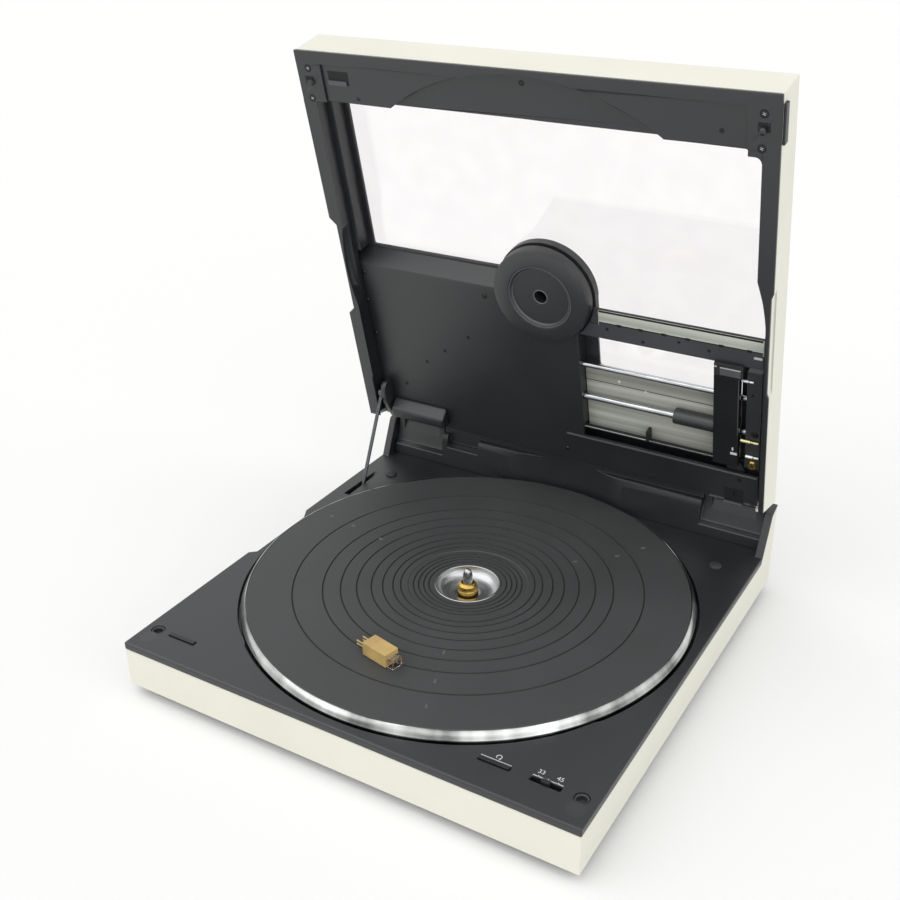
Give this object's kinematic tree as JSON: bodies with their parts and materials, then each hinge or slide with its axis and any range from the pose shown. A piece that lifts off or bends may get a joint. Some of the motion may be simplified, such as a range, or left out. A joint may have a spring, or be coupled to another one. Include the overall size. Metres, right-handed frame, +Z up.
{
  "type": "turntable",
  "caption": "Square low turntable, lid open: platter with mat let into the deck, and a hinged lid with window, record clamp and a linear tracking arm on guide rods.",
  "frame": {"origin": "on the table under the middle of the cabinet", "axes": "+X to the right of the front, +Y to the rear where the hinge is, +Z up"},
  "size_m": [0.318, 0.315, 0.3718],
  "materials": {
    "cream_paint": "satin",
    "black_plastic": "satin",
    "dark_steel": "satin",
    "rubber": "matte",
    "platter_aluminium": "polished",
    "bright_steel": "polished",
    "hub_brass": "satin",
    "rail_metal": "satin",
    "scale_aluminium": "satin",
    "motor_copper": "satin",
    "magnet": "matte",
    "circuit_board": "satin",
    "clear_window": "polished",
    "cartridge_gold": "satin"
  },
  "bodies": {
    "root": {"base_cabinet": "cream_paint", "bottom_cover": "dark_steel", "foot_front_left": "rubber", "foot_front_right": "rubber", "foot_rear_left": "rubber", "foot_rear_right": "rubber", "deck_plate": "black_plastic", "hinge_cover": "black_plastic", "hinge_pin_left": "bright_steel", "hinge_pin_right": "bright_steel", "deck_bumper_left": "rubber", "deck_bumper_right": "rubber", "bearing_housing": "dark_steel", "motor_stator": "motor_copper", "power_transformer": "dark_steel", "main_circuit_board": "circuit_board", "mains_inlet": "black_plastic", "signal_sockets": "black_plastic", "control_switch_board": "circuit_board", "strut_guide": "dark_steel", "cartridge": "cartridge_gold", "stylus_guard": "clear_window"},
    "platter": {"platter": "platter_aluminium", "platter_mat": "rubber", "spindle": "bright_steel", "spindle_hub": "hub_brass", "rotor_magnet": "magnet"},
    "power_button": {"power_button": "black_plastic"},
    "repeat_button": {"repeat_button": "black_plastic"},
    "speed_selector": {"speed_selector": "black_plastic"},
    "lid": {"lid_shell": "cream_paint", "lid_window": "clear_window", "lid_inner_frame": "black_plastic", "arm_panel": "black_plastic", "cable_cover": "black_plastic", "strut_bracket": "dark_steel", "clamp_housing": "black_plastic", "guide_rod_upper": "bright_steel", "guide_rod_lower": "bright_steel", "rail_plate": "rail_metal", "rail_bridge": "black_plastic", "scale_strip": "scale_aluminium", "rod_end_block": "black_plastic", "arm_drive_motor": "dark_steel", "drive_belt": "rubber", "key_switch_board": "circuit_board", "lid_hinge_arm_left": "dark_steel", "lid_hinge_arm_right": "dark_steel"},
    "strut": {"strut_rod": "bright_steel"},
    "clamp_carrier": {"clamp_spindle": "dark_steel"},
    "clamp": {"clamp_disc": "black_plastic"},
    "carriage": {"carriage": "black_plastic", "bearing_sleeve": "black_plastic"},
    "arm": {"tone_arm": "black_plastic", "headshell": "black_plastic"},
    "key_start": {"key_start": "black_plastic"},
    "key_stop": {"key_stop": "black_plastic"},
    "key_cue": {"key_cue": "black_plastic"},
    "catch_left": {"lid_catch_left": "dark_steel"},
    "catch_right": {"lid_catch_right": "dark_steel"}
  },
  "joints": [
    {"name": "platter_spin", "type": "hinge", "parent": "root", "child": "platter", "pos_m": [0, 0, 0.039], "axis": [0, 0, 1], "continuous": true},
    {"name": "lid_hinge", "type": "hinge", "parent": "root", "child": "lid", "pos_m": [0, 0.1536, 0.0693], "axis": [1, 0, 0], "range_deg": [0, 76.83]},
    {"name": "strut_pivot", "type": "hinge", "parent": "lid", "child": "strut", "pos_m": [-0.1452, 0.11892, 0.1034], "axis": [1, 0, 0], "range_deg": [-118.5, 0]},
    {"name": "clamp_press", "type": "slide", "parent": "lid", "child": "clamp_carrier", "axis": [0, 0.9737, 0.2278], "range_m": [0, 0.0015], "stiffness_N_per_m": 900, "springref_m": -0.0008},
    {"name": "clamp_spin", "type": "hinge", "parent": "clamp_carrier", "child": "clamp", "pos_m": [0, 0.09913, 0.2143], "axis": [0, 0.9737, 0.2278], "continuous": true},
    {"name": "carriage_slide", "type": "slide", "parent": "lid", "child": "carriage", "axis": [1, 0, 0], "range_m": [-0.066, 0]},
    {"name": "arm_lift", "type": "hinge", "parent": "carriage", "child": "arm", "pos_m": [0.1275, 0.12579, 0.12452], "axis": [1, 0, 0], "range_deg": [0, 2.5]},
    {"name": "power_press", "type": "slide", "parent": "root", "child": "power_button", "axis": [0, 0, 1], "range_m": [-0.0015, 0], "stiffness_N_per_m": 400, "springref_m": 0.0006},
    {"name": "repeat_press", "type": "slide", "parent": "root", "child": "repeat_button", "axis": [0, 0, 1], "range_m": [-0.0015, 0], "stiffness_N_per_m": 400, "springref_m": 0.0006},
    {"name": "speed_slide", "type": "slide", "parent": "root", "child": "speed_selector", "axis": [1, 0, 0], "range_m": [-0.006, 0.006]},
    {"name": "start_press", "type": "slide", "parent": "lid", "child": "key_start", "axis": [0, 0.9737, 0.2278], "range_m": [-0.0015, 0], "stiffness_N_per_m": 400, "springref_m": 0.0006},
    {"name": "stop_press", "type": "slide", "parent": "lid", "child": "key_stop", "axis": [0, 0.9737, 0.2278], "range_m": [-0.0015, 0], "stiffness_N_per_m": 400, "springref_m": 0.0006},
    {"name": "cue_press", "type": "slide", "parent": "lid", "child": "key_cue", "axis": [0, 0.9737, 0.2278], "range_m": [-0.0015, 0], "stiffness_N_per_m": 400, "springref_m": 0.0006},
    {"name": "catch_left_press", "type": "slide", "parent": "lid", "child": "catch_left", "axis": [-1, 0, 0], "range_m": [-0.0012, 0], "stiffness_N_per_m": 400, "springref_m": 0.0006},
    {"name": "catch_right_press", "type": "slide", "parent": "lid", "child": "catch_right", "axis": [1, 0, 0], "range_m": [-0.0012, 0], "stiffness_N_per_m": 400, "springref_m": 0.0006}
  ],
  "couplings": [
    {"joint": "strut_pivot", "follows": "lid_hinge", "ratio": -1.535}
  ]
}
